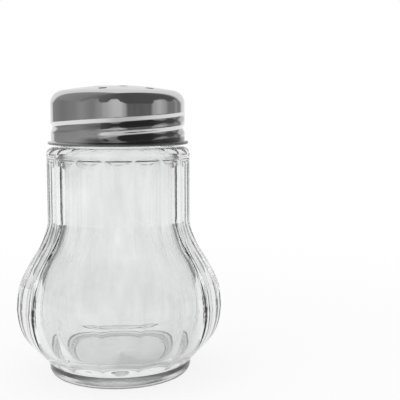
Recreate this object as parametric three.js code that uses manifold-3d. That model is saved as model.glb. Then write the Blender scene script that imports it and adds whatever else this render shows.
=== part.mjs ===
// Restaurant spice shaker: a fluted glass jar, a ring seal on its rim and a steel screw cap with a pierced crown.
// Millimetres, +Z up. The origin is the middle of the circle that the jar stands on, and -Y is the front.
import * as THREE from "three";
import { mergeVertices } from "three/addons/utils/BufferGeometryUtils.js";
import Module from "manifold-3d";

const wasm = await Module();
wasm.setup();

// Clearances
const fitGap = 0.3; // between touching pieces
const threadGap = 0.45; // between the cap's inward ridges and the glass under them
const overrun = 2; // how far a cutter runs past what it cuts, and a joined piece into its neighbour

// Jar, outside
const bulbRadius = 35.3;
const bulbHeight = 23.5; // height of the widest circle
const neckRadius = 24.3;
const neckFootHeight = 54; // where the swell has died away into the neck
const ledgeHeight = 77.8; // flat shoulder that the cap's lip comes down to
const ledgeRound = 2.6;
const footRadius = 24.4;
const footHeight = 4.5;
const footRound = 2.6;
const standWidth = 3.4; // width of the flat ring that the jar stands on
const pushUp = 1.2; // height of the hollow under the base

// Flutes round the jar
const fluteCount = 16;
const fluteDepth = 0.6; // at the neck, in the middle of a flute
const fluteTurn = THREE.MathUtils.degToRad(5.625); // direction of one flute's middle, from the front towards +X
const fluteBand = 3.6; // plain band between the flutes and the ledge
const fluteHead = 0.5; // height over which a flute runs out at its upper end
const fluteToe = 5; // the same at the foot

// Jar, inside
const neckWall = 5.3; // the bore runs straight up from the neck through the mouth
const bulbWall = 6.4;
const floorThickness = 8.8;
const floorRadius = 18.6; // flat part of the floor

// Threaded finish of the jar
const finishHeight = 16; // from the ledge to the rim
const rimRound = 0.9;

// Thread, shared by the jar's ribs and the cap's grooves
const threadStarts = 2;
const threadLead = 8.5;
const threadSpan = THREE.MathUtils.degToRad(280); // how far each start runs round
const threadFade = THREE.MathUtils.degToRad(14); // each end runs out over this angle
const threadTurn = THREE.MathUtils.degToRad(-11); // where the first start begins, from the front towards +X
const threadLift = 3.2; // height of that beginning over the cap's lip
const grooveDepth = 0.6;
const grooveAbove = 1.5; // half width of a groove over its middle line
const grooveBelow = 2.2; // and under it, where its flank is longer
const ribHalfWidth = 1.1;
const ribLift = 1.8; // the glass rib lies this far above the groove that grips under it

// Seal
const sealThickness = 0.9;
const sealInset = 0.5; // from the finish's outside to the seal's edge
const sealOverlap = 1.5; // how far the seal reaches in over the mouth

// Cap
const capRadius = 22.65;
const sheet = 0.45;
const lipGap = 0.8; // between the lip and the ledge
const lipReach = 1.1; // how far the lip stands out from the wall
const lipRound = 0.5;
const skirtFlare = 0.45; // how far the wall widens above the lip
const capShoulder = 4.6; // radius of the rounding between the wall and the crown
const crownRadius = 102; // radius of the crown's dome

// Holes in the crown: one in the middle, a ring of six round it and a ring of six outside
const holeRadius = 1.4;
const holePitch = 8.95; // from each hole to its six neighbours
const holeTurn = THREE.MathUtils.degToRad(17.5); // direction of one hole of the inner ring
const holeRings = 6;

// Facet counts
const jarSides = fluteCount * 4;
const boreSides = 48;
const capSides = 54;
const holeSides = 12;
const capRows = 12; // rows of facets down the cap's wall
const ribRows = 13; // rows of facets up the threaded finish
const weld = 1e-4; // vertices nearer than this are one

// Outline of the jar between its named circles, as [share of the height, share of the widening]
const lowerSwellShares = [
  [0, 0],
  [0.2, 0.38],
  [0.45, 0.74],
  [0.71, 0.93],
  [1, 1],
];
const upperSwellShares = [
  [0, 1],
  [0.25, 0.915],
  [0.475, 0.627],
  [0.705, 0.235],
  [0.9, 0.03],
  [1, 0],
];

// Sizes that follow from the named ones
const finishRadius = capRadius - sheet - grooveDepth - threadGap;
const ribHeight = grooveDepth + threadGap - fitGap;
const boreRadius = neckRadius - neckWall;
const rimHeight = ledgeHeight + finishHeight;
const sealRadius = finishRadius - sealInset;
const sealHole = boreRadius - sealOverlap;
const sealFoot = rimHeight + fitGap;
const sealHead = sealFoot + sealThickness;
const lipHeight = ledgeHeight + lipGap;
const shoulderCentre = capRadius - capShoulder;
const innerShoulder = capShoulder - sheet;
const wallTop = sealHead + fitGap - Math.sqrt(innerShoulder ** 2 - (sealRadius - shoulderCentre) ** 2);
const crownAngle = Math.asin(shoulderCentre / (crownRadius - capShoulder));
const crownCentre = wallTop - (crownRadius - capShoulder) * Math.cos(crownAngle);
const threadFoot = lipHeight + threadLift;

// Boolean solids
function solid(geometry) {
  const bare = geometry.clone();
  bare.deleteAttribute("normal");
  bare.deleteAttribute("uv");
  const merged = mergeVertices(bare, weld);
  const corners = merged.index.array;
  const kept = [];
  for (let i = 0; i < corners.length; i += 3) {
    const [a, b, c] = [corners[i], corners[i + 1], corners[i + 2]];
    if (a !== b && b !== c && c !== a) kept.push(a, b, c);
  }
  return new wasm.Manifold(
    new wasm.Mesh({
      numProp: 3,
      vertProperties: new Float32Array(merged.attributes.position.array),
      triVerts: new Uint32Array(kept),
    }),
  );
}

function geometryOf(body) {
  const mesh = body.getMesh();
  const geometry = new THREE.BufferGeometry();
  geometry.setAttribute("position", new THREE.BufferAttribute(new Float32Array(mesh.vertProperties), 3));
  geometry.setIndex(new THREE.BufferAttribute(new Uint32Array(mesh.triVerts), 1));
  const flat = geometry.toNonIndexed();
  flat.computeVertexNormals();
  return flat;
}

// Turns [radius, height] points about +Z. move gives each point's new radius at an angle from the front.
function turned(outline, sides, move) {
  const points = outline.map(([radius, height]) => new THREE.Vector2(radius, height));
  const geometry = new THREE.LatheGeometry(points, sides);
  if (move) {
    const position = geometry.attributes.position;
    for (let side = 0; side <= sides; side++) {
      const angle = ((side % sides) * 2 * Math.PI) / sides;
      for (let row = 0; row < points.length; row++) {
        const { x: radius, y: height } = points[row];
        const moved = radius > 0 ? move(angle, radius, height) : 0;
        position.setXYZ(side * points.length + row, moved * Math.sin(angle), height, moved * Math.cos(angle));
      }
    }
  }
  geometry.rotateX(Math.PI / 2);
  return geometry;
}

// Points along an arc of a profile, from one angle to another, in steps
function arc(centreRadius, centreHeight, radius, from, to, steps) {
  return Array.from({ length: steps + 1 }, (_, i) => {
    const angle = from + ((to - from) * i) / steps;
    return [centreRadius + radius * Math.cos(angle), centreHeight + radius * Math.sin(angle)];
  });
}

// Points up a swell whose shares run between two circles
function swell(shares, foot, head, narrow, wide, steps) {
  const curve = new THREE.SplineCurve(shares.map(([up, out]) => new THREE.Vector2(up, out)));
  return curve.getPoints(steps).map(({ x: up, y: out }) => [
    THREE.MathUtils.lerp(narrow, wide, out),
    THREE.MathUtils.lerp(foot, head, up),
  ]);
}

// How far an angle lies along each start of the thread, while it is on it
function threadPlaces(angle) {
  const places = [];
  for (let start = 0; start < threadStarts; start++) {
    const begin = threadTurn + (start * 2 * Math.PI) / threadStarts;
    const along = THREE.MathUtils.euclideanModulo(angle - begin, 2 * Math.PI);
    for (let turn = 0; along + turn * 2 * Math.PI <= threadSpan; turn++) places.push(along + turn * 2 * Math.PI);
  }
  return places;
}

// Share of the thread's full depth at an angle and a height, 0 to 1, for a thread whose start is at the height foot.
// Its half widths over and under its middle line are above and below.
function threadShare(angle, height, foot, above, below) {
  let most = 0;
  for (const along of threadPlaces(angle)) {
    const off = height - foot - (threadLead * along) / (2 * Math.PI);
    const away = off > 0 ? off / above : -off / below;
    if (away >= 1) continue;
    const ends = Math.min(1, along / threadFade, (threadSpan - along) / threadFade);
    most = Math.max(most, Math.sin((ends * Math.PI) / 2) * Math.cos((away * Math.PI) / 2) ** 2);
  }
  return most;
}

// Share of a flute's full depth at an angle and a height, 0 to 1
function fluteShare(angle, height) {
  const pitch = (2 * Math.PI) / fluteCount;
  const across = (THREE.MathUtils.euclideanModulo(angle - fluteTurn + pitch / 2, pitch) / pitch) * 2 - 1;
  const bandFoot = ledgeHeight - fluteBand;
  const head = THREE.MathUtils.smoothstep(bandFoot - height, 0, fluteHead);
  const toe = THREE.MathUtils.smoothstep(height - footHeight, 0, fluteToe);
  return (1 - across ** 2) * head * toe;
}

// Glass jar
function jarBody() {
  const standOuter = footRadius - footRound;
  const standInner = standOuter - standWidth;
  const outline = [
    [0, pushUp],
    [standInner - pushUp, pushUp],
    [standInner, 0],
    ...arc(standOuter, footRound, footRound, -Math.PI / 2, 0, 4),
    ...swell(lowerSwellShares, footHeight, bulbHeight, footRadius, bulbRadius, 8),
    ...swell(upperSwellShares, bulbHeight, neckFootHeight, neckRadius, bulbRadius, 9).slice(1),
  ];
  const bandFoot = ledgeHeight - fluteBand;
  const neckRows = 3;
  for (let row = 1; row <= neckRows; row++)
    outline.push([neckRadius, THREE.MathUtils.lerp(neckFootHeight, bandFoot - fluteHead, row / neckRows)]);
  outline.push([neckRadius, bandFoot]);
  outline.push(...arc(neckRadius - ledgeRound, ledgeHeight - ledgeRound, ledgeRound, 0, Math.PI / 2, 3));
  outline.push([0, ledgeHeight]);
  const scoop = (angle, radius, height) =>
    height > footHeight ? radius - (fluteDepth * radius * fluteShare(angle, height)) / neckRadius : radius;
  return solid(turned(outline, jarSides, scoop));
}

function jarFinish() {
  const ribFoot = threadFoot + ribLift;
  const zoneFoot = ribFoot - ribHalfWidth;
  const zoneHead = ribFoot + (threadLead * threadSpan) / (2 * Math.PI) + ribHalfWidth;
  const outline = [
    [0, ledgeHeight - overrun],
    [finishRadius, ledgeHeight - overrun],
  ];
  for (let row = 0; row <= ribRows; row++)
    outline.push([finishRadius, THREE.MathUtils.lerp(zoneFoot, zoneHead, row / ribRows)]);
  outline.push(...arc(finishRadius - rimRound, rimHeight - rimRound, rimRound, 0, Math.PI / 2, 3));
  outline.push([0, rimHeight]);
  const rib = (angle, radius, height) => radius + ribHeight * threadShare(angle, height, ribFoot, ribHalfWidth, ribHalfWidth);
  return solid(turned(outline, capSides, rib));
}

function jarBore() {
  const bulbBore = bulbRadius - bulbWall;
  const outline = [[0, floorThickness]];
  const cornerSteps = 6;
  for (let i = 0; i <= cornerSteps; i++) {
    const turn = (i / cornerSteps) * (Math.PI / 2);
    outline.push([
      floorRadius + (bulbBore - floorRadius) * Math.sin(turn),
      floorThickness + (bulbHeight - floorThickness) * (1 - Math.cos(turn)),
    ]);
  }
  outline.push(...swell(upperSwellShares, bulbHeight, neckFootHeight, boreRadius, bulbBore, 8).slice(1));
  outline.push([boreRadius, rimHeight + overrun]);
  outline.push([0, rimHeight + overrun]);
  return solid(turned(outline, boreSides));
}

function glassJar() {
  return jarBody().add(jarFinish()).subtract(jarBore());
}

// Ring seal between the rim and the crown
function rimSeal() {
  const outline = [
    [sealHole, sealFoot],
    [sealRadius, sealFoot],
    [sealRadius, sealHead],
    [sealHole, sealHead],
    [sealHole, sealFoot],
  ];
  return solid(turned(outline, capSides));
}

// Steel cap
function wallRadius(height) {
  const down = THREE.MathUtils.clamp((wallTop - height) / (wallTop - lipHeight), 0, 1);
  return capRadius + skirtFlare * down ** 4;
}

function capShell() {
  const wallFoot = lipHeight + 2 * lipRound;
  const lipCentre = capRadius + lipReach - lipRound;
  const rows = Array.from({ length: capRows + 1 }, (_, i) => THREE.MathUtils.lerp(wallFoot, wallTop, i / capRows));
  const square = Math.PI / 2;
  const crownSteps = 4;
  const shoulderSteps = 5;
  const inner = [
    ...arc(0, crownCentre, crownRadius - sheet, square, square - crownAngle, crownSteps).slice(0, -1),
    ...arc(shoulderCentre, wallTop, innerShoulder, square - crownAngle, 0, shoulderSteps).slice(0, -1),
    ...rows.toReversed().map((height) => [wallRadius(height) - sheet, height]),
    [wallRadius(lipHeight) - sheet, lipHeight + sheet],
  ];
  const outer = [
    ...arc(lipCentre, lipHeight + lipRound, lipRound, -square, square, 4),
    ...rows.slice(1).map((height) => [wallRadius(height), height]),
    ...arc(shoulderCentre, wallTop, capShoulder, 0, square - crownAngle, shoulderSteps).slice(1),
    ...arc(0, crownCentre, crownRadius, square - crownAngle, square, crownSteps).slice(1),
  ];
  inner[0][0] = 0;
  outer.at(-1)[0] = 0;
  const groove = (angle, radius, height) =>
    radius - grooveDepth * threadShare(angle, height, threadFoot, grooveAbove, grooveBelow);
  return solid(turned([...inner, ...outer], capSides, groove));
}

function holeCutter(radius, angle) {
  const top = crownCentre + crownRadius + overrun;
  const bottom = wallTop;
  const drill = new THREE.CylinderGeometry(holeRadius, holeRadius, top - bottom, holeSides);
  drill.rotateX(Math.PI / 2);
  drill.translate(radius * Math.sin(angle), -radius * Math.cos(angle), (top + bottom) / 2);
  return solid(drill);
}

function steelCap() {
  let body = capShell().subtract(holeCutter(0, 0));
  for (let i = 0; i < holeRings; i++) {
    const angle = holeTurn + (i * 2 * Math.PI) / holeRings;
    body = body.subtract(holeCutter(holePitch, angle));
    body = body.subtract(holeCutter(holePitch * Math.sqrt(3), angle + Math.PI / holeRings));
  }
  return body;
}

// Scene graph
const glass = new THREE.MeshStandardMaterial({ color: 0xeef2f1, roughness: 0.03, metalness: 0, transparent: true, opacity: 0.35 });
const steel = new THREE.MeshStandardMaterial({ color: 0xb9babb, roughness: 0.22, metalness: 1 });
const silicone = new THREE.MeshStandardMaterial({ color: 0xdadcdb, roughness: 0.6, metalness: 0 });

function piece(name, body, material) {
  const mesh = new THREE.Mesh(geometryOf(body), material);
  mesh.name = name;
  return mesh;
}

const shaker = new THREE.Group();
shaker.add(piece("glass_jar", glassJar(), glass));
shaker.add(piece("rim_seal", rimSeal(), silicone));
shaker.add(piece("steel_cap", steelCap(), steel));

export default shaker;
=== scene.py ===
# %% [markdown]
# # Restaurant spice shaker
# The real shaker is three things: a thick fluted glass jar, a soft ring on its rim, and a steel cap that
# screws down on the ring. The solid model already says where each of them is. It is loaded first as a fixed
# frame, and everything below is built around it, in metres, with +Z up and the front towards -Y.

# %% The frame
import math

import bpy
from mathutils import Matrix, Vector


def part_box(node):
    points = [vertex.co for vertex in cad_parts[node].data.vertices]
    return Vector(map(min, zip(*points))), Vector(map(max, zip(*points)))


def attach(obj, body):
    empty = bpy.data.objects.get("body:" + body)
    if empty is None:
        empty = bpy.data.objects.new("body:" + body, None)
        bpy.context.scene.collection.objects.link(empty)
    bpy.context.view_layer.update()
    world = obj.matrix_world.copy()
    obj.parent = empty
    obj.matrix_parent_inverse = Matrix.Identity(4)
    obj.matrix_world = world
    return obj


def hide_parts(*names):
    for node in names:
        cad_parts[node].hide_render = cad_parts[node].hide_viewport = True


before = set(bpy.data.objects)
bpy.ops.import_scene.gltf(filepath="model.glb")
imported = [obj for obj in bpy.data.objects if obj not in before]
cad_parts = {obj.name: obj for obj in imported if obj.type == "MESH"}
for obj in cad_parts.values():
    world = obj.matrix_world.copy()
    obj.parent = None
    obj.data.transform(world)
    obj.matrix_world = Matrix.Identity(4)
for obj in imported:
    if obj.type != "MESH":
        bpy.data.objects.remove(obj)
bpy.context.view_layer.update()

mm = 0.001
for name in sorted(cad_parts):
    low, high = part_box(name)
    print(name, "from", [round(v / mm, 1) for v in low], "to", [round(v / mm, 1) for v in high], "mm")

# %% [markdown]
# ## The camera
# A picture of a round thing says a lot about where it was taken from: the ellipse of the cap's lip gives the
# height of the camera, and the way the ellipses open further down gives its distance. Both were measured
# and give a camera 28 cm away and 9 cm up that looks down a little. It stands to the right of the jar's
# middle and looks straight ahead, so the jar ends up left of the middle of the picture.

# %% The camera
camera_place = (27.8 * mm, -277.5 * mm, 90.2 * mm)
camera_dip = 6.35       # degrees below level
camera_lens = 73.17     # millimetres, for a sensor 36 mm wide

camera_data = bpy.data.cameras.new("camera")
camera_data.sensor_width = 36
camera_data.lens = camera_lens
camera_data.clip_start = 0.01
camera = bpy.data.objects.new("camera", camera_data)
camera.location = camera_place
camera.rotation_euler = (math.radians(90 - camera_dip), 0, 0)
bpy.context.scene.collection.objects.link(camera)
bpy.context.scene.camera = camera
bpy.context.scene.view_settings.view_transform = "Standard"
print("camera at", [round(v, 4) for v in camera_place], "m")
print("its field is", round(math.degrees(camera_data.angle), 1), "degrees wide")

# %% [markdown]
# ## Sums of node sockets
# Geometry Nodes and materials both work out their patterns with Math nodes. Wired by hand, one line of
# school algebra becomes a screen full of boxes. A small class that stands for a socket, and that adds a
# Math node each time two of them are added or multiplied, lets the formulas below read as formulas.

# %% Sums of node sockets
class Field:
    """A node socket that can be used in sums. Every sum adds one Math node to the tree."""

    def __init__(self, tree, socket):
        self.tree, self.socket = tree, socket

    def math(self, operation, *terms):
        node = self.tree.nodes.new("ShaderNodeMath")
        node.operation = operation
        for slot, term in zip(node.inputs, (self, *terms)):
            feed(self.tree, slot, term)
        return Field(self.tree, node.outputs[0])

    def __add__(self, other): return self.math("ADD", other)
    def __sub__(self, other): return self.math("SUBTRACT", other)
    def __mul__(self, other): return self.math("MULTIPLY", other)
    def __truediv__(self, other): return self.math("DIVIDE", other)
    def __rsub__(self, other): return self * -1 + other
    def __rtruediv__(self, other): return self.math("POWER", -1) * other
    __radd__, __rmul__ = __add__, __mul__

    def least(self, other): return self.math("MINIMUM", other)
    def most(self, other): return self.math("MAXIMUM", other)
    def clamped(self): return self.most(0).least(1)
    def wrapped(self, span): return self.math("FLOORED_MODULO", span)
    def below(self, other): return self.math("LESS_THAN", other)
    def above(self, other): return self.math("GREATER_THAN", other)


print("a socket can do:", [name for name in vars(Field) if not name.startswith("_")])

# %% Helpers for node trees
def feed(tree, slot, term):
    """Gives an input socket a Field, or a plain value."""
    if isinstance(term, Field):
        tree.links.new(term.socket, slot)
    else:
        slot.default_value = term


def add(tree, kind, inputs=None, output=0, **properties):
    """Adds a node, sets its properties and inputs, and returns one of its outputs as a Field."""
    node = tree.nodes.new(kind)
    for key, value in properties.items():
        setattr(node, key, value)
    for key, term in (inputs or {}).items():
        feed(tree, node.inputs[key], term)
    return Field(tree, node.outputs[output])


def parts_of(tree, vector):
    """A vector's X, Y and Z."""
    node = tree.nodes.new("ShaderNodeSeparateXYZ")
    feed(tree, node.inputs[0], vector)
    return [Field(tree, output) for output in node.outputs]


def eased(part):
    """A share, held between 0 and 1, with a soft start and a soft end."""
    part = part.clamped()
    return part * part * (3 - 2 * part)


def soft_step(value, low, high):
    """0 below low and 1 above high, with a smooth change between."""
    return eased((value - low) / (high - low))


print("helpers ready:", [helper.__name__ for helper in (feed, add, parts_of, eased, soft_step)])

# %% [markdown]
# ## The studio
# Clear glass and polished steel have no look of their own: they show the room, one bent and one mirrored.
# The picture's cap shows that room: bright behind the jar, dark at the sides, grey in front with two pale
# windows, and a dark ceiling. It could be built from walls and lamps, but a world that is painted by
# direction has fewer parts, and each of its levels can be set alone. One ramp round the horizon says how
# bright the room is at eye level, and others do it for the ceiling and the far floor. A last one says how
# high walls and windows reach, so that their upper edges show on the cap's shoulder. The camera itself sees
# plain white.

# %% Ramps round the jar
def heading(east, north):
    """A direction's place from 0 to 1, round from the back over the left (-X), the front and the right."""
    return east.math("ARCTAN2", north * -1) / (2 * math.pi) + 0.5


def around(tree, place, levels):
    """A soft ramp of levels round the jar. Its stops are pairs of degrees, 0 in front, and a level."""
    node = tree.nodes.new("ShaderNodeValToRGB")
    feed(tree, node.inputs[0], place)
    stops = node.color_ramp.elements
    while len(stops) < len(levels):
        stops.new(0.5)
    for stop, (degrees, level) in zip(stops, levels):
        stop.position, stop.color = (degrees + 180) / 360, (level, level, level, 1)
    node.color_ramp.interpolation = "EASE"
    return Field(tree, node.outputs["Color"])


def kinds_of_ray(tree):
    """Three tests, each 1 or 0: the ray comes from the camera, off a mirroring surface, or through a clear one."""
    path = tree.nodes.new("ShaderNodeLightPath")
    return [Field(tree, path.outputs[name]) for name in ("Is Camera Ray", "Is Glossy Ray", "Is Transmission Ray")]


print("ramps run from the back (-180 degrees) over the left (-90), the front (0) and the right (90)")

# %% The room's levels
eye_level = [
    (-180, 1), (-166, 0.96), (-152, 0.84), (-144, 0.8), (-134, 0.27), (-100, 0.22), (-75, 0.25), (-58, 0.31),
    (-38, 0.24), (-24, 0.33), (-17, 0.44), (2, 0.6), (9, 0.6), (17, 0.42), (24, 0.17), (45, 0.14), (60, 0.17),
    (68, 0.4), (80, 0.52), (92, 0.4), (101, 0.22), (115, 0.22), (123, 0.34), (129, 0.24), (137, 0.27),
    (147, 0.8), (153, 0.84), (167, 0.96), (180, 1)]
ceiling = [
    (-180, 0.82), (-138, 0.82), (-126, 0.3), (-75, 0.26), (-50, 0.2), (-25, 0.13), (0, 0.1), (25, 0.085),
    (80, 0.09), (120, 0.1), (128, 0.14), (142, 0.82), (180, 0.82)]
far_floor = [
    (-180, 1), (-152, 0.84), (-139, 0.8), (-129, 0.3), (-75, 0.33), (-40, 0.36), (-25, 0.3), (-12, 0.17),
    (8, 0.11), (30, 0.07), (60, 0.07), (85, 0.1), (105, 0.17), (125, 0.24), (134, 0.27), (143, 0.8), (180, 1)]
wall_tops = [
    (-180, 0.06), (-140, 0.06), (-120, 0.3), (-76, 0.3), (-57, 0.2), (-43, 0.65), (-33, 0.65), (-23, 0.15),
    (-14, 0.15), (-5, 0.55), (4, 0.6), (12, 0.25), (20, 0.05), (64, 0.05), (72, 0.35), (95, 0.4), (106, 0.2),
    (125, 0.3), (142, 0.06), (180, 0.06)]

# Heights are the upward part of a direction one metre long: 0 is the horizon, 1 is straight up.
floor_line = (-0.034, -0.014)       # the far floor meets the walls between these heights
top_blur = 0.08                     # softness of the walls' upper edges
top_lumps, lump_scale = 0.3, 3.0    # those edges are uneven: by how much, and how finely
soft_light = 0.88                   # what lights matt things, the same from all sides
print("the room has", len(eye_level), "levels at the horizon and", len(ceiling), "above")

# %% The world
world = bpy.data.worlds.new("studio")
bpy.context.scene.world = world
world.use_nodes = True
sky = world.node_tree
sky.nodes.clear()

direction = add(sky, "ShaderNodeTexCoord", output="Generated")
east, north, rise = parts_of(sky, direction)
place = heading(east, north)
walls, roof, ground, tops = (around(sky, place, stops) for stops in (eye_level, ceiling, far_floor, wall_tops))
lumps = add(sky, "ShaderNodeTexNoise", {"Vector": direction, "Scale": lump_scale, "Detail": 2.0})
above_walls = soft_step(rise - tops + (lumps - 0.5) * top_lumps, -top_blur, top_blur)
walls = walls + (1 - soft_step(rise, *floor_line)) * (ground - walls)
room = walls + above_walls * (roof - walls)

camera_ray, glossy_ray, clear_ray = kinds_of_ray(sky)
strength = soft_light + (glossy_ray + clear_ray).clamped() * (room - soft_light)
strength = strength + camera_ray * (1 - strength)
background = add(sky, "ShaderNodeBackground", {"Color": (1, 1, 1, 1), "Strength": strength})
world_output = sky.nodes.new("ShaderNodeOutputWorld")
feed(sky, world_output.inputs["Surface"], background)
print("the world has", len(sky.nodes), "nodes")

# %% [markdown]
# ## The table
# The jar stands on a plain pale table, for which one square face is enough. The thread and the lip of the
# cap mirror it from below, so its far parts are dimmer in front and to the sides, as a real table's are
# where less light falls. Only mirrored and bent rays meet that glow. To the camera the table is plain, and
# near the jar it keeps a soft shadow. One weak lamp, which no mirror shows, gives matt things some form.

# %% The table
reach = 1.4     # metres to each side
table_mesh = bpy.data.meshes.new("table")
corners = [(-reach, -reach, 0), (reach, -reach, 0), (reach, reach, 0), (-reach, reach, 0)]
table_mesh.from_pydata(corners, [], [(0, 1, 2, 3)])
table = bpy.data.objects.new("table", table_mesh)
bpy.context.scene.collection.objects.link(table)
print("the table is", 2 * reach, "m wide")

# %% The table's paint
table_glow = [(-180, 1), (-60, 0.97), (-25, 0.85), (10, 0.62), (40, 0.6), (75, 0.8), (110, 0.92), (180, 1)]
front_fade, front_loss = (0.32, 0.6), 0.45                  # metres in front of the jar, and the share lost
side_fade, side_loss, side_lean = (0.55, 0.85), 0.75, 0.9   # and to its sides, on a line that leans backwards
near_share, near_fade = 0.85, (0.12, 0.3)                   # share of glow at the jar, all glow further out

table_paint = bpy.data.materials.new("white_table")
table_paint.use_nodes = True
tree = table_paint.node_tree
tree.nodes.clear()
east, north, _ = parts_of(tree, add(tree, "ShaderNodeTexCoord", output="Object"))
camera_ray, glossy_ray, clear_ray = kinds_of_ray(tree)
ahead = soft_step(north * -1, *front_fade)
aside = soft_step(east.math("ABSOLUTE") - side_lean * north.most(0), *side_fade)
level = around(tree, heading(east, north), table_glow)
level = level * (1 - front_loss * ahead) * (1 - side_loss * aside)
level = level + camera_ray * (1 - level)
away = (east * east + north * north).math("SQRT")
share = near_share + (1 - near_share) * soft_step(away, *near_fade)
share = (camera_ray + glossy_ray + clear_ray).clamped() * share

matt = add(tree, "ShaderNodeBsdfDiffuse", {"Color": (0.94, 0.94, 0.94, 1)})
glow = add(tree, "ShaderNodeEmission", {"Color": (1, 1, 1, 1), "Strength": level})
mixed = add(tree, "ShaderNodeMixShader", {0: share, 1: matt, 2: glow})
paint_output = tree.nodes.new("ShaderNodeOutputMaterial")
feed(tree, paint_output.inputs["Surface"], mixed)
table_mesh.materials.append(table_paint)
print("the table's paint has", len(tree.nodes), "nodes")

# %% The lamp
lamp_data = bpy.data.lights.new("soft_lamp", "AREA")
lamp_data.shape = "DISK"
lamp_data.size = 0.5
lamp_data.energy = 0.8
lamp = bpy.data.objects.new("soft_lamp", lamp_data)
lamp.location = (-0.45, -0.35, 0.75)
lamp.rotation_euler = (math.radians(40), 0, math.radians(-52))
lamp.visible_glossy = False
lamp.visible_transmission = False
bpy.context.scene.collection.objects.link(lamp)
print("one soft lamp of", lamp_data.energy, "W")

# %% [markdown]
# ## Profiles
# Jar, ring and cap are all round, so each starts as the outline of its cut face: a line of points, each a
# radius and a height in millimetres. Straight runs, arcs and one free curve are all it takes. The free
# curve is the S of the jar's side, given as shares of its height and of its widening, so that the shape
# stays the same when the sizes change.

# %% Pieces of a profile
def line(start, end, steps):
    """Points on a straight run, without its start."""
    return [(start[0] + (end[0] - start[0]) * i / steps, start[1] + (end[1] - start[1]) * i / steps)
            for i in range(1, steps + 1)]


def arc(centre, radius, start, end, steps):
    """Points on an arc between two angles in degrees, with both ends."""
    turns = [math.radians(start + (end - start) * i / steps) for i in range(steps + 1)]
    return [(centre[0] + radius * math.cos(t), centre[1] + radius * math.sin(t)) for t in turns]


def through(points, steps):
    """Points along a smooth curve through the given ones (a Catmull-Rom spline)."""
    found, last = [], len(points) - 1
    for i in range(steps + 1):
        place = i / steps * last
        k = min(int(place), last - 1)
        w = place - k
        before, here, there, after = (points[max(k - 1, 0)], points[k], points[k + 1], points[min(k + 2, last)])
        found.append(tuple(
            (2 * b - 2 * c + (c - a) / 2 + (d - b) / 2) * w ** 3
            + (-3 * b + 3 * c - (c - a) - (d - b) / 2) * w ** 2 + (c - a) / 2 * w + b
            for a, b, c, d in zip(before, here, there, after)))
    return found


def swell(shares, foot, head, narrow, wide, steps):
    """A smooth curve whose points are given as shares of the way up and of the way out."""
    return [(narrow + (wide - narrow) * out, foot + (head - foot) * up) for up, out in through(shares, steps)]


print("an arc of four steps:", [(round(r, 2), round(z, 2)) for r, z in arc((10, 0), 2, 0, 90, 4)])

# %% Sizes of the jar, in millimetres
bulb_radius, bulb_height = 35.3, 23.5
neck_radius, neck_foot = 24.3, 54.0
ledge_height, ledge_round = 77.8, 2.6
foot_radius, foot_height, foot_round = 24.4, 4.5, 2.6
stand_width, push_up = 3.4, 1.2
lower_swell = [(0, 0), (0.2, 0.38), (0.45, 0.74), (0.71, 0.93), (1, 1)]
upper_swell = [(0, 1), (0.25, 0.915), (0.475, 0.627), (0.705, 0.235), (0.9, 0.03), (1, 0)]

neck_wall, bulb_wall = 5.3, 6.4
floor_height, floor_radius = 8.8, 18.6
finish_height, rim_round, mouth_round = 16, 0.9, 0.5
bore_radius, rim_height = neck_radius - neck_wall, ledge_height + finish_height
print("the rim is", rim_height, "mm up and the mouth", round(2 * bore_radius, 2), "mm across")

# %% Sizes that cap and glass share, in millimetres and degrees
cap_radius, sheet, lip_height = 22.65, 0.45, 78.6
groove_depth, thread_gap, fit_gap = 0.6, 0.45, 0.3
thread_lead, thread_span, thread_fade, thread_turn, thread_foot = 8.5, 280, 14, -11, 81.8
finish_radius = cap_radius - sheet - groove_depth - thread_gap
rib_height = groove_depth + thread_gap - fit_gap
print("the glass under the cap is", round(2 * finish_radius, 2), "mm across")

# %% [markdown]
# ## One tree for everything turned
# A turned piece follows a rule. Blender's Screw modifier could turn an outline, but flutes and a thread
# would have to be cut into the result. So a Geometry Nodes tree does it: it lays out a grid, bends the grid
# round the axis along the profile, and welds the seam and the poles shut. Flutes and thread only move
# points in or out by an amount that depends on the angle and the height, so they are formulas that are
# added to the radius before the grid is bent.

# %% A tree with a profile as its input
def new_tree(name, numbers):
    """A Geometry Nodes tree with a profile and a material as inputs, and one input for each number."""
    tree = bpy.data.node_groups.new(name, "GeometryNodeTree")
    face = tree.interface
    face.new_socket("Profile", in_out="INPUT", socket_type="NodeSocketGeometry")
    face.new_socket("Material", in_out="INPUT", socket_type="NodeSocketMaterial")
    for number in numbers:
        face.new_socket(number, in_out="INPUT", socket_type="NodeSocketFloat")
    face.new_socket("Geometry", in_out="OUTPUT", socket_type="NodeSocketGeometry")
    source = tree.nodes.new("NodeGroupInput")
    names = [item.name for item in face.items_tree if item.in_out == "INPUT"]
    return tree, {name: Field(tree, source.outputs[name]) for name in names}


print("each tree takes a profile, a material and its own numbers")

# %% Bending a grid along a profile
weld_gap = 2e-6     # metres: points this close become one
nudge = 1e-4        # keeps a whole number from being rounded down to the one before it


def on_circle(tree, angle, radius, height):
    """The point at an angle from the front, a distance from the axis and a height."""
    return add(tree, "ShaderNodeCombineXYZ", {
        "X": radius * angle.math("SINE"), "Y": radius * angle.math("COSINE") * -1, "Z": height})


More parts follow.
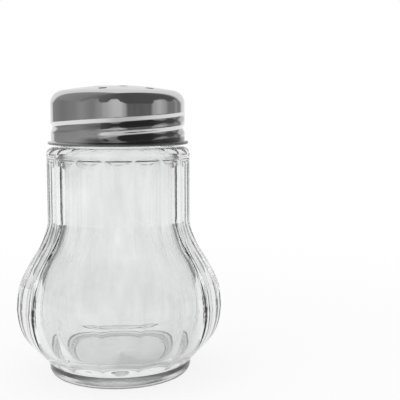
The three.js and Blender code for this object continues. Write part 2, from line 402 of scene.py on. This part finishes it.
def turned(tree, values, move=None):
    """The profile turned about +Z. move takes the angle, radius, height and a reader of the profile's marks."""
    profile, sides = values["Profile"], values["Sides"]
    rows = add(tree, "GeometryNodeAttributeDomainSize", {"Geometry": profile}, component="MESH")
    grid = add(tree, "GeometryNodeMeshGrid", {"Vertices X": sides + 1, "Vertices Y": rows})
    index = add(tree, "GeometryNodeInputIndex")
    column = (index / rows + nudge).math("FLOOR")
    row = index - column * rows
    angle = column.wrapped(sides) / sides * (2 * math.pi)

    def read(value, kind):
        return add(tree, "GeometryNodeSampleIndex", {
            "Geometry": profile, "Value": value, "Index": row}, data_type=kind)

    def mark(name):
        return read(add(tree, "GeometryNodeInputNamedAttribute", {"Name": name}, data_type="FLOAT"), "FLOAT")

    radius, _, height = parts_of(tree, read(add(tree, "GeometryNodeInputPosition"), "FLOAT_VECTOR"))
    if move:
        radius, height = move(angle, radius, height, mark)
    point = on_circle(tree, angle, radius, height)
    bent = add(tree, "GeometryNodeSetPosition", {"Geometry": grid, "Position": point})
    return add(tree, "GeometryNodeMergeByDistance", {"Geometry": bent, "Distance": weld_gap})


print("points closer than", weld_gap / mm, "mm are welded")

# %% The end of each tree
def finished(tree, values, shape, sharp):
    """Smooth faces with sharp edges past an angle, real geometry, the material, and the tree's output."""
    folds = add(tree, "GeometryNodeInputMeshEdgeAngle")
    smooth = add(tree, "GeometryNodeSetShadeSmooth", {"Geometry": shape, "Shade Smooth": True}, domain="FACE")
    creased = add(tree, "GeometryNodeSetShadeSmooth", {
        "Geometry": smooth, "Selection": folds.above(math.radians(sharp)), "Shade Smooth": False}, domain="EDGE")
    real = add(tree, "GeometryNodeRealizeInstances", {"Geometry": creased})
    painted = add(tree, "GeometryNodeSetMaterial", {"Geometry": real, "Material": values["Material"]})
    end = tree.nodes.new("NodeGroupOutput")
    tree.links.new(painted.socket, end.inputs["Geometry"])
    print(tree.name, "has", len(tree.nodes), "nodes")


print("each tree ends in real geometry with its material")

# %% From a profile to a plain mesh
def made(name, tree, profile, material, numbers, marks=None):
    """Runs a tree on a profile and keeps the result as a plain mesh object."""
    mesh = bpy.data.meshes.new(name + "_profile")
    mesh.from_pydata([(r * mm, 0, z * mm) for r, z in profile], [(i, i + 1) for i in range(len(profile) - 1)], [])
    for mark, amounts in (marks or {}).items():
        mesh.attributes.new(mark, "FLOAT", "POINT").data.foreach_set("value", amounts)
    carrier = bpy.data.objects.new(name + "_carrier", mesh)
    bpy.context.scene.collection.objects.link(carrier)
    modifier = carrier.modifiers.new("turning", "NODES")
    modifier.node_group = tree
    for item in tree.interface.items_tree:
        if item.in_out == "INPUT" and item.name != "Profile":
            modifier[item.identifier] = material if item.name == "Material" else float(numbers[item.name])
    result = bpy.data.meshes.new_from_object(carrier.evaluated_get(bpy.context.evaluated_depsgraph_get()))
    result.name = name
    piece = bpy.data.objects.new(name, result)
    bpy.context.scene.collection.objects.link(piece)
    bpy.data.objects.remove(carrier)
    size = [round(v / mm, 2) for v in piece.dimensions]
    triangles = sum(len(face.vertices) - 2 for face in result.polygons)
    print(name, "has", len(result.vertices), "points and", triangles, "triangles,", size, "mm")
    return piece


print("each piece is kept as a plain mesh, and its modifier goes")

# %% [markdown]
# ## The screw thread
# Cap and glass only fit each other if one helix shapes both. It could be a coil that is swept and joined
# on, but that leaves a seam, and a real thread is the wall itself. So the thread is a single formula: a
# share of its depth at each angle and height. It climbs by its lead in one turn, runs in two starts half a
# turn apart, and fades in and out at its ends, as it does where the roller lifts off the sheet.

# %% The thread's formula
def thread(angle, height, values, foot):
    """Share of the thread's full depth, 0 to 1, at an angle and a height. It runs in two starts."""
    turn, span, fade, lead = (values[k] for k in ("Turn", "Span", "Fade", "Lead"))
    share = None
    for start in (0, math.pi):
        along = (angle - turn - start).wrapped(2 * math.pi)
        off = height - foot - lead * along / (2 * math.pi)
        half = values["Half Below"] + off.above(0) * (values["Half Above"] - values["Half Below"])
        away = (off.math("ABSOLUTE") / half).least(1)
        across = (away * (math.pi / 2)).math("COSINE")
        ends = (along / fade).least((span - along) / fade).clamped()
        one = (ends * (math.pi / 2)).math("SINE") * across * across * along.below(span)
        share = one if share is None else share.most(one)
    return share


print("a thread turns once in", thread_lead, "mm of height")

# %% [markdown]
# ## Clear glass
# Pressed glass is never quite even: its skin is slightly wavy where it met the mould, and it carries a
# trace of grey in its thickness. Two noises of different size give the waves as a bump, and another one
# varies the polish. They are read at the object's own coordinates, so they need no UV map and move with
# the piece. The grey is a tint that grows towards the edges, where light goes the longest way through the
# wall. The index, 1.5, is what bends the light.

# %% Materials from noise
def surface(name):
    """A new material and its Principled shader."""
    material = bpy.data.materials.new(name)
    material.use_nodes = True
    return material, material.node_tree, material.node_tree.nodes["Principled BSDF"]


def own_place(tree):
    """Where a point is on the piece itself, in metres."""
    return add(tree, "ShaderNodeTexCoord", output="Object")


def noise(tree, scale, detail=3.0, stretch=None, place=None):
    """Noise from 0 to 1 on the piece's own coordinates. scale counts waves in a metre."""
    place = place or own_place(tree)
    if stretch:
        place = add(tree, "ShaderNodeMapping", {"Vector": place, "Scale": stretch})
    return add(tree, "ShaderNodeTexNoise", {"Vector": place, "Scale": scale, "Detail": detail, "Roughness": 0.5})


def blend(tree, share, first, second):
    """A colour between two others. A colour Mix node takes them at its inputs 6 and 7."""
    return add(tree, "ShaderNodeMix", {"Factor": share, 6: first, 7: second}, output=2, data_type="RGBA")


print("helpers ready:", [helper.__name__ for helper in (surface, own_place, noise, blend)])

# %% Bumps, shares and masks
def bumped(tree, shader, height, depth):
    """Roughens the shader's surface, to a depth in metres."""
    feed(tree, shader.inputs["Normal"], add(tree, "ShaderNodeBump", {"Height": height, "Distance": depth}))


def between(value, low, high):
    """A noise from 0 to 1 spread between two amounts."""
    return value * (high - low) + low


def past(value, low, high):
    """0 before one place and 1 after another, both in millimetres."""
    return soft_step(value, low * mm, high * mm)


print("helpers ready:", [helper.__name__ for helper in (bumped, between, past)])

# %% Glass
glass_grey, glass_clear = (0.875, 0.88, 0.88, 1), (0.945, 0.95, 0.95, 1)
glass_edge = (0.7, 0.705, 0.705, 1)
wave_scale, ripple_scale, streak_scale, polish_scale = 75, 260, 120, 120     # waves in a metre
wave_depth, stand_rough = 0.12 * mm, 0.4

glass, tree, shader = surface("clear_glass")
shader.inputs["Transmission Weight"].default_value = 1.0
shader.inputs["IOR"].default_value = 1.5
_, _, height = parts_of(tree, own_place(tree))
streaks = soft_step(noise(tree, streak_scale, 2.0, stretch=(1, 1, 0.5)), 0.35, 0.65)
facing = add(tree, "ShaderNodeLayerWeight", {"Blend": 0.5}, output="Facing")
tint = blend(tree, facing * facing, blend(tree, streaks, glass_grey, glass_clear), glass_edge)
feed(tree, shader.inputs["Base Color"], tint)
waves = noise(tree, wave_scale, 1.0) * 0.8 + noise(tree, ripple_scale, 2.0) * 0.2
bumped(tree, shader, waves, wave_depth)
scuffed = (1 - past(height, 0.6, 1.6)) * stand_rough        # the standing ring is scuffed by tables
feed(tree, shader.inputs["Roughness"], between(noise(tree, polish_scale), 0.0, 0.02) + scuffed)
print("glass of index", shader.inputs["IOR"].default_value)

# %% [markdown]
# ## Light that is trapped in the glass
# Between the thick walls a ray is mirrored again and again before it gets out. A render follows only a few
# of these mirrorings and then calls the ray black, which draws soot under the rim and in the thick foot. So
# there, a ray that was mirrored often enough goes straight out, as it would in the end from the real glass.

# %% A way out for trapped light
most_mirrorings = 2.5       # a ray goes out after more than these, and one earlier in the foot
let_out = (1 - past(height, 14.5, 18.5)).most(past(height, 73, 74.5))
in_foot = 1 - past(height, 12.5, 16.5)
trapped = add(tree, "ShaderNodeLightPath", output="Glossy Depth").above(most_mirrorings - in_foot) * let_out
passing = add(tree, "ShaderNodeBsdfTransparent", {"Color": (1, 1, 1, 1)})
mixed = add(tree, "ShaderNodeMixShader", {0: trapped, 1: Field(tree, shader.outputs[0]), 2: passing})
feed(tree, tree.nodes["Material Output"].inputs["Surface"], mixed)
print("the glass has", len(tree.nodes), "nodes")

# %% [markdown]
# ## The jar
# Sixteen flutes run up the jar, each a shallow hollow that ends in a short step under the plain band below
# the shoulder, and dies away in a toe at the foot. Where two of them meet they leave a sharp ridge. Cutters
# could carve them, but a formula lets their ends run out softly. The glass under the cap carries the ribs
# of the thread, the floor is thick, and the ring that the jar stands on is notched, as it is on most jars,
# so that it doesn't scrape along a table. The outline goes once round the cut face: under the base, up the
# outside, over the rim and down inside to the floor.

# %% The jar's outline
flute_count, flute_depth, flute_turn = 16, 0.6, 5.625
flute_band, flute_end, flute_toe = 3.6, 0.5, 5.0
flute_head = ledge_height - flute_band
stand_outer = foot_radius - foot_round
stand_inner = stand_outer - stand_width
bulb_bore = bulb_radius - bulb_wall
ledge_edge = neck_radius - ledge_round

under = [(0, push_up)] + line((0, push_up), (stand_inner - push_up, push_up), 4)
under += line(under[-1], (stand_inner, 0), 3)
stand = line(under[-1], (stand_outer, 0), 4)
foot = arc((stand_outer, foot_round), foot_round, -90, 0, 9)[1:]
side = swell(lower_swell, foot_height, bulb_height, foot_radius, bulb_radius, 34)
side += swell(upper_swell, bulb_height, neck_foot, neck_radius, bulb_radius, 42)[1:]
side += line((neck_radius, neck_foot), (neck_radius, flute_head - flute_end), 7)
side += line(side[-1], (neck_radius, flute_head), 6)
side += line((neck_radius, flute_head), (neck_radius, ledge_height - ledge_round), 2)
side += arc((ledge_edge, ledge_height - ledge_round), ledge_round, 0, 90, 12)[1:]
finish = line((ledge_edge, ledge_height), (finish_radius, ledge_height), 2)
ribs = line(finish[-1], (finish_radius, rim_height - rim_round), 44)
rim = arc((finish_radius - rim_round, rim_height - rim_round), rim_round, 0, 90, 5)[1:]
rim += line((finish_radius - rim_round, rim_height), (bore_radius + mouth_round, rim_height), 2)
mouth = arc((bore_radius + mouth_round, rim_height - mouth_round), mouth_round, 90, 180, 4)[1:]
mouth += line((bore_radius, rim_height - mouth_round), (bore_radius, neck_foot), 8)[:-1]
bore = swell(upper_swell, bulb_height, neck_foot, bore_radius, bulb_bore, 42)[::-1]
bowl_turns = [math.radians(90 * i / 26) for i in range(1, 27)]
bowl = [(floor_radius + (bulb_bore - floor_radius) * math.cos(t),
         floor_height + (bulb_height - floor_height) * (1 - math.sin(t))) for t in bowl_turns]
floor = line((floor_radius, floor_height), (0, floor_height), 4)
jar_parts = [under, stand, foot, side, finish, ribs, rim, mouth, bore, bowl, floor]
jar_outline = [point for part in jar_parts for point in part]
print("the jar's outline has", len(jar_outline), "points")

# %% [markdown]
# The tree has to know which points of the outline are the fluted side, the threaded finish and the notched
# standing ring. So each point carries a mark for each of them, 1 or 0, which multiplies the movement.

# %% Marks along the jar's outline
marks = {"fluted": [], "threaded": [], "notched": []}
for part in jar_parts:
    marks["fluted"] += [float(part is side)] * len(part)
    marks["threaded"] += [float(part is ribs)] * len(part)
    marks["notched"] += [float(part is stand and i < len(part) - 1) for i in range(len(part))]
print("marked points:", {name: int(sum(amounts)) for name, amounts in marks.items()})

# %% The jar's tree
rib_offset, rib_half = 1.8, 1.1         # the glass rib lies above the cap's groove, which pulls up on it
notch_count, notch_depth = 64, 0.1
jar_numbers = {
    "Sides": 384, "Flutes": flute_count, "Flute Depth": flute_depth / neck_radius,
    "Flute Turn": math.radians(flute_turn), "Flute Foot": foot_height * mm, "Flute Head": flute_head * mm,
    "Flute End": flute_end * mm, "Flute Toe": flute_toe * mm, "Notches": notch_count,
    "Notch Depth": notch_depth * mm, "Starts Foot": (thread_foot + rib_offset) * mm, "Lead": thread_lead * mm,
    "Turn": math.radians(thread_turn), "Span": math.radians(thread_span), "Fade": math.radians(thread_fade),
    "Half Above": rib_half * mm, "Half Below": rib_half * mm, "Rib Height": rib_height * mm}
tree, values = new_tree("fluted_jar", jar_numbers)


def flute(angle, height):
    """Share of a flute's depth, 0 to 1: a hollow across each flute that runs out at both ends."""
    pitch = 2 * math.pi / values["Flutes"]
    across = (angle - values["Flute Turn"] + pitch / 2).wrapped(pitch) / pitch * 2 - 1
    over = eased((height - values["Flute Head"] + values["Flute End"]) / values["Flute End"])
    under = eased((values["Flute Foot"] + values["Flute Toe"] - height) / values["Flute Toe"])
    return (1 - across * across) * (1 - over) * (1 - under)


def jar_move(angle, radius, height, mark):
    hollow = flute(angle, height) * values["Flute Depth"] * radius * mark("fluted")
    rib = thread(angle, height, values, values["Starts Foot"]) * values["Rib Height"] * mark("threaded")
    notch = (1 - (angle * values["Notches"]).math("COSINE")) / 2 * values["Notch Depth"] * mark("notched")
    return radius - hollow + rib, height + notch


finished(tree, values, turned(tree, values, jar_move), sharp=40)
jar = made("glass_jar_detailed", tree, jar_outline, glass, jar_numbers, marks)

# %% [markdown]
# ## Polished steel
# The cap is thin sheet that was pressed, rolled and polished on a spindle, so what marks it has run round
# it. A noise that is read along the radius and the height, and hardly along the angle, gives those rings.
# It goes into the bump and the roughness, and a broad soft noise lets the colour drift a little. Painted shade
# darkens the lower half of the rolled lip, the hole walls are dark as raw punched steel and with painted shade,
# and the lip is worn dull. Painted shade also lies on the upward faces of the thread, more on one side than on the
# other, and in the corner above the lip.

# %% Where the steel is worn, and where shade is painted on it
right_loss, corner_shade_share = 0.6, 0.95     # painted shade that the thread loses at its right end, and the share of painted shade at the lip

steel, tree, shader = surface("polished_steel")
x, y, z = parts_of(tree, own_place(tree))
_, _, tilt = parts_of(tree, add(tree, "ShaderNodeTexCoord", output="Normal"))
worn = 1 - past(z, 79.5, 79.7)
# Painted shade on the lower half of the rolled lip, and on the hole walls, which are dark as raw punched steel and
# as painted shade.
lip_underside_shade = 1 - past(z, 79.0, 79.2)
hole_wall = (1 - soft_step(tilt, 0.4, 0.7)) * past(z, 96.3, 96.7)
# Painted shade on the thread's upward faces, from left of the middle round to the right, less at the right end.
upward = soft_step(tilt, 0.03, 0.18) * past(z, 79.9, 80.5) * (1 - past(z, 91.2, 91.6))
thread_painted_shade = upward * past(x, -11, 4) * (1 - right_loss * past(x, 11, 18))
# Painted shade in the corner above the lip, from left of the middle round to the right.
corner_painted_shade = (1 - past(z, 80.6, 81.8)) * past(x, -12, -4) * corner_shade_share
print("the masks take", len(tree.nodes), "nodes")

# %% Steel
steel_dark, steel_pale = (0.7, 0.7, 0.705, 1), (0.76, 0.76, 0.765, 1)
# two darker greys for painted shade: the first on the thread and in the corner, the second on the lip's lower half
# and in the holes
painted_shade_colour, edge_shade_colour = (0.2, 0.2, 0.2, 1), (0.16, 0.16, 0.16, 1)
ring_scale, drift_scale, ring_depth = 2600, 45, 0.0025 * mm
round_share = 0.002         # how much the rings change along the angle
worn_rough = 0.3

shader.inputs["Metallic"].default_value = 1.0
ring_place = add(tree, "ShaderNodeCombineXYZ", {
    "X": (x * x + y * y).math("SQRT"), "Y": x.math("ARCTAN2", y) * round_share, "Z": z})
rings = noise(tree, ring_scale, 2.0, place=ring_place)
drift = noise(tree, drift_scale, 2.0)
tint = blend(tree, drift, steel_dark, steel_pale)
# painted shade on the thread and in the corner above the lip
tint = blend(tree, thread_painted_shade.most(corner_painted_shade), tint, painted_shade_colour)
# painted shade on the lip's lower half and the hole walls
tint = blend(tree, lip_underside_shade.most(hole_wall), tint, edge_shade_colour)
feed(tree, shader.inputs["Base Color"], tint)
feed(tree, shader.inputs["Roughness"], between(rings * 0.6 + drift * 0.4, 0.03, 0.09) + worn * worn_rough)
bumped(tree, shader, rings, ring_depth)
print("the steel has", len(tree.nodes), "nodes")

# %% [markdown]
# ## The cap
# One profile again: down the inside of the crown and the wall, round the rolled lip, and up the outside.
# Solidify could give a single face its thickness, but not the closed roll of the lip. The thread is rolled
# through the sheet, so the same groove moves both faces inwards. Its upper flank is short and steep and its
# lower one longer. A punch pulls the sheet down a little as it goes through, so each of the 13 holes sits
# in a shallow dimple. The holes are a boolean with one punch on each point.

# %% The cap's outline
shoulder_radius, crown_radius = 4.6, 102.0
lip_round, lip_reach, skirt_flare, flare_power = 0.5, 1.1, 0.45, 60
seal_thickness, seal_round, seal_inset, seal_lap = 0.9, 0.28, 0.5, 1.5
wall_steps, crown_steps = 60, 50

seal_foot = rim_height + fit_gap
seal_head = seal_foot + seal_thickness
seal_hole, seal_radius = bore_radius - seal_lap, finish_radius - seal_inset
shoulder_centre = cap_radius - shoulder_radius
inner_shoulder = shoulder_radius - sheet
wall_top = seal_head + fit_gap - math.sqrt(inner_shoulder ** 2 - (seal_radius - shoulder_centre) ** 2)
lip_top = lip_height + 2 * lip_round
crown_angle = math.degrees(math.asin(shoulder_centre / (crown_radius - shoulder_radius)))
crown_centre = wall_top - (crown_radius - shoulder_radius) * math.cos(math.radians(crown_angle))


def wall_at(height):
    """The wall's radius. It is straight and flares just above the lip."""
    down = min(1, max(0, (wall_top - height) / (wall_top - lip_height)))
    return cap_radius + skirt_flare * down ** flare_power


rows = [lip_top + (wall_top - lip_top) * i / wall_steps for i in range(wall_steps + 1)]
inside = arc((0, crown_centre), crown_radius - sheet, 90, 90 - crown_angle, crown_steps)[:-1]
inside += arc((shoulder_centre, wall_top), inner_shoulder, 90 - crown_angle, 0, 10)[:-1]
inside += [(wall_at(z) - sheet, z) for z in reversed(rows)] + [(wall_at(lip_height) - sheet, lip_height + sheet)]
outside = arc((cap_radius + lip_reach - lip_round, lip_height + lip_round), lip_round, -90, 90, 10)
outside += [(wall_at(z), z) for z in rows[1:]]
outside += arc((shoulder_centre, wall_top), shoulder_radius, 0, 90 - crown_angle, 14)[1:]
outside += arc((0, crown_centre), crown_radius, 90 - crown_angle, 90, crown_steps)[1:]
cap_outline = [(0, inside[0][1])] + inside[1:] + outside[:-1] + [(0, outside[-1][1])]
crown_top = outside[-1][1]
print("the cap's outline has", len(cap_outline), "points, and its crown is", round(crown_top, 2), "mm up")

# %% The cap's tree and its hole pattern
cap_numbers = {
    "Sides": 270, "Foot": thread_foot * mm, "Lead": thread_lead * mm, "Turn": math.radians(thread_turn),
    "Span": math.radians(thread_span), "Fade": math.radians(2 * thread_fade), "Half Above": 1.2 * mm,
    "Half Below": 2.2 * mm, "Groove Depth": groove_depth * mm, "Hole Radius": 1.4 * mm,
    "Hole Pitch": 8.95 * mm, "Hole Turn": math.radians(17.5), "Crown Top": crown_top * mm,
    "Wall Top": wall_top * mm, "Dish Radius": 2.3 * mm, "Dish Depth": 0.2 * mm}
tree, values = new_tree("pierced_screw_cap", cap_numbers)


def hole_ring(distance, turn):
    """Six points in a ring, the first at an angle from the front."""
    ring = add(tree, "GeometryNodeMeshCircle", {"Vertices": 6, "Radius": distance})
    spin = add(tree, "ShaderNodeCombineXYZ", {"Z": turn - math.pi / 2})
    return add(tree, "GeometryNodeTransform", {"Geometry": ring, "Rotation": spin})


middle = add(tree, "GeometryNodeMeshLine", {"Count": 1})
inner_ring = hole_ring(values["Hole Pitch"], values["Hole Turn"])
outer_ring = hole_ring(values["Hole Pitch"] * math.sqrt(3), values["Hole Turn"] + math.pi / 6)
join = tree.nodes.new("GeometryNodeJoinGeometry")
for group in (middle, inner_ring, outer_ring):
    feed(tree, join.inputs[0], group)
hole_places = Field(tree, join.outputs[0])
print("13 holes: one in the middle and two rings of six")

# %% The cap, threaded and punched
punch_length, punch_sink = 6 * mm, 1.2 * mm     # the punches, and how far their middle is below the crown
thread_inner = 10 * mm                          # nearer to the axis than this, no point belongs to the thread


def cap_move(angle, radius, height, mark):
    depth = thread(angle, height, values, values["Foot"]) * values["Groove Depth"] * radius.above(thread_inner)
    near = add(tree, "GeometryNodeProximity", {
        "Geometry": hole_places, "Sample Position": on_circle(tree, angle, radius, 0.0)},
        output="Distance", target_element="POINTS")
    away = (near / values["Dish Radius"]).least(1)
    dish = (1 - away * away) * (1 - away * away) * values["Dish Depth"] * height.above(values["Wall Top"])
    return radius - depth, height - dish


lift = add(tree, "ShaderNodeCombineXYZ", {"Z": values["Crown Top"] - punch_sink})
places = add(tree, "GeometryNodeSetPosition", {"Geometry": hole_places, "Offset": lift})
punch = add(tree, "GeometryNodeMeshCylinder", {
    "Vertices": 48, "Radius": values["Hole Radius"], "Depth": punch_length})
punches = add(tree, "GeometryNodeInstanceOnPoints", {"Points": places, "Instance": punch})
tools = add(tree, "GeometryNodeRealizeInstances", {"Geometry": punches})
cut = add(tree, "GeometryNodeMeshBoolean", {
    "Mesh 1": turned(tree, values, cap_move), "Mesh 2": tools}, operation="DIFFERENCE", solver="MANIFOLD")
finished(tree, values, cut, sharp=32)
cap = made("steel_cap_detailed", tree, cap_outline, steel, cap_numbers)

# %% [markdown]
# ## The ring seal
# It is hidden once the cap is on: a flat silicone ring with soft edges, which the cap presses on the rim.
# The tree that turns jar and cap turns it too, with nothing added to the radius. Silicone is milky: light
# goes a little way into it, which is what subsurface scattering is for.

# %% Silicone
silicone_dark, silicone_pale = (0.72, 0.73, 0.72, 1), (0.8, 0.81, 0.8, 1)
cloud_scale, grain_scale, grain_depth = 180, 900, 0.01 * mm

silicone, tree, shader = surface("milky_silicone")
cloud = noise(tree, cloud_scale)
feed(tree, shader.inputs["Base Color"], blend(tree, cloud, silicone_dark, silicone_pale))
feed(tree, shader.inputs["Roughness"], between(cloud, 0.45, 0.6))
shader.inputs["Subsurface Weight"].default_value = 0.4
shader.inputs["Subsurface Radius"].default_value = (1 * mm, 1 * mm, 1 * mm)
bumped(tree, shader, noise(tree, grain_scale), grain_depth)
print("the silicone has", len(tree.nodes), "nodes")

# %% The ring
seal_numbers = {"Sides": 192}
near_side, far_side = seal_hole + seal_round, seal_radius - seal_round
low_side, high_side = seal_foot + seal_round, seal_head - seal_round
seal_corners = [(near_side, low_side, 180), (far_side, low_side, -90),
                (far_side, high_side, 0), (near_side, high_side, 90)]
seal_outline = [point for r, z, turn in seal_corners for point in arc((r, z), seal_round, turn, turn + 90, 5)]
seal_outline += seal_outline[:1]
tree, values = new_tree("ring_seal", seal_numbers)
finished(tree, values, turned(tree, values), sharp=50)
seal = made("rim_seal_detailed", tree, seal_outline, silicone, seal_numbers)

# %% [markdown]
# ## Hanging the pieces on the frame
# Each piece stands for one solid and rides on that solid's body, so it moves when the cap is unscrewed.

# %% Riding, and the end
riders = [
    (jar, "jar", "glass_jar", "glass"), (seal, "seal", "rim_seal", "seal"), (cap, "cap", "steel_cap", "steel")]
for piece, body, node, slot in riders:
    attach(piece, body)
    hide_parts(node)
